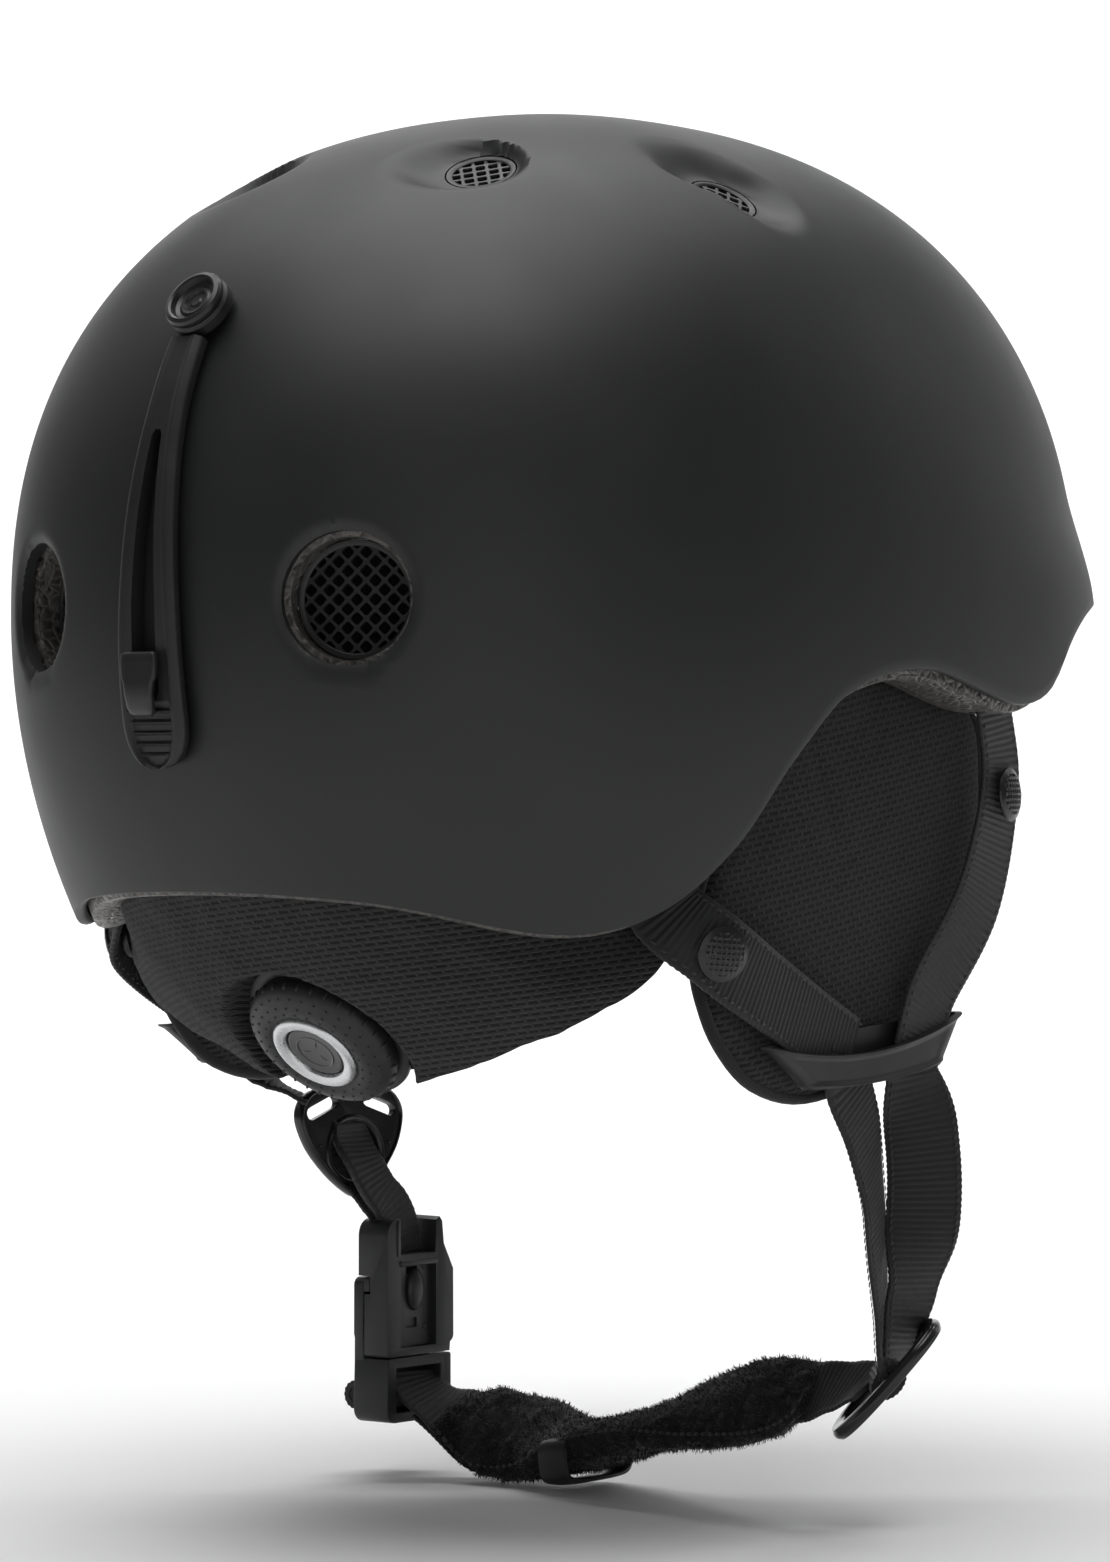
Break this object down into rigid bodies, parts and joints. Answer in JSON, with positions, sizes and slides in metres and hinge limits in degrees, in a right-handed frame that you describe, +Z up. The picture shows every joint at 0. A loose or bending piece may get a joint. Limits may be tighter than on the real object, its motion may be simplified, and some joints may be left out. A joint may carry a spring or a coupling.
{
  "type": "snow sports helmet",
  "caption": "Hard-shell snow and water sports helmet with padded ears, rear fit dial, goggle strap clip and a chin strap with a slide-off buckle.",
  "frame": {"origin": "middle of the shell at its widest level, where the wearer's head is centred", "axes": "+Z up to the crown, -Y to the front of the helmet, -X to the wearer's right"},
  "size_m": [0.216, 0.2883, 0.3292],
  "materials": {
    "shell": "soft matte black injection-moulded shell",
    "foam": "moulded expanded foam, fine beads, dark grey",
    "screen": "black moulded lattice",
    "lining": "brushed black lining fabric",
    "mesh_fabric": "black three-layer spacer mesh",
    "cradle": "satin black nylon",
    "grip_rubber": "black rubber with raised pips",
    "bright_metal": "polished ring",
    "cap_gloss": "gloss black insert",
    "spring_steel": "spring steel",
    "clip_plastic": "satin black plastic",
    "strap_rubber": "soft black rubber",
    "anchor_metal": "blackened steel",
    "webbing": "ribbed black polyester webbing",
    "snap_plastic": "black press snap with a knurled face",
    "ring_plastic": "semi-gloss black acetal",
    "buckle_plastic": "fine-grained dark grey plastic",
    "magnet": "nickel-plated magnet",
    "fleece": "black pile fleece"
  },
  "bodies": {
    "root": {"outer_shell": "shell", "foam_liner": "foam", "rear_screen_left": "screen", "rear_screen_right": "screen", "crown_screen_back_left": "screen", "crown_screen_back_right": "screen", "crown_screen_side_left": "screen", "crown_screen_side_right": "screen", "brow_pad": "lining", "crown_pad": "lining", "side_pad_left": "lining", "side_pad_right": "lining", "rear_pad": "lining", "ear_pad_left": "mesh_fabric", "ear_pad_right": "mesh_fabric", "nape_pad": "mesh_fabric", "nape_cushion": "lining", "cradle_cover": "cradle", "cradle_base": "cradle", "dial_housing": "cradle", "band_sleeve_left": "cradle", "band_sleeve_right": "cradle", "clip_rivet": "clip_plastic", "clip_hook": "clip_plastic", "strap_eyelet": "strap_rubber", "strap_anchors": "anchor_metal", "front_web_left": "webbing", "front_web_right": "webbing", "rear_web_left": "webbing", "rear_web_right": "webbing", "snaps_left": "snap_plastic", "snaps_right": "snap_plastic", "keeper_left": "strap_rubber", "keeper_right": "strap_rubber"},
    "dial": {"dial_core": "cradle", "dial_grip": "grip_rubber", "dial_ring": "bright_metal", "dial_cap": "cap_gloss", "ratchet_spring": "spring_steel"},
    "rack_left": {"rack_left": "cradle"},
    "rack_right": {"rack_right": "cradle"},
    "goggle_strap": {"goggle_strap": "strap_rubber"},
    "right_strap": {"right_lower_webs": "webbing", "right_adjuster": "ring_plastic"},
    "left_strap": {"left_ring_webs": "webbing", "divider_ring": "ring_plastic", "left_lower_web": "webbing", "buckle_upper": "buckle_plastic", "buckle_button": "buckle_plastic", "upper_magnet": "magnet"},
    "chin_strap": {"buckle_lower": "buckle_plastic", "lower_magnet": "magnet", "chin_web": "webbing", "chin_pad": "fleece", "end_loop": "webbing", "web_keeper": "strap_rubber"}
  },
  "joints": [
    {"name": "dial_turn", "type": "hinge", "parent": "root", "child": "dial", "pos_m": [0, 0.0903, -0.0944], "axis": [0, 0.7193, -0.6947], "range_deg": [-130, 130]},
    {"name": "left_band_slide", "type": "hinge", "parent": "root", "child": "rack_left", "pos_m": [0, 0.02987, -0.03605], "axis": [0, -0.6947, -0.7193], "range_deg": [-9, 9]},
    {"name": "right_band_slide", "type": "hinge", "parent": "root", "child": "rack_right", "pos_m": [0, 0.02987, -0.03605], "axis": [0, -0.6947, -0.7193], "range_deg": [-9, 9]},
    {"name": "goggle_strap_lift", "type": "hinge", "parent": "root", "child": "goggle_strap", "pos_m": [0, 0.1395, 0.0535], "axis": [1, 0, 0], "range_deg": [0, 100], "deforming": ["goggle_strap"]},
    {"name": "right_strap_swing", "type": "hinge", "parent": "root", "child": "right_strap", "pos_m": [-0.0906, 0.004, -0.104], "axis": [1, 0, 0], "range_deg": [-40, 35], "deforming": ["right_lower_webs"]},
    {"name": "left_strap_swing", "type": "hinge", "parent": "root", "child": "left_strap", "pos_m": [0.0906, 0.004, -0.104], "axis": [1, 0, 0], "range_deg": [-40, 35], "deforming": ["left_ring_webs"]},
    {"name": "buckle_release", "type": "hinge", "parent": "right_strap", "child": "chin_strap", "pos_m": [-0.082, -0.011, -0.177], "axis": [0, 0, 1], "range_deg": [-110, 0]}
  ],
  "couplings": [
    {"joint": "left_band_slide", "follows": "dial_turn", "ratio": 0.066667},
    {"joint": "right_band_slide", "follows": "dial_turn", "ratio": -0.064935},
    {"joint": "left_strap_swing", "follows": "right_strap_swing", "ratio": 1}
  ]
}
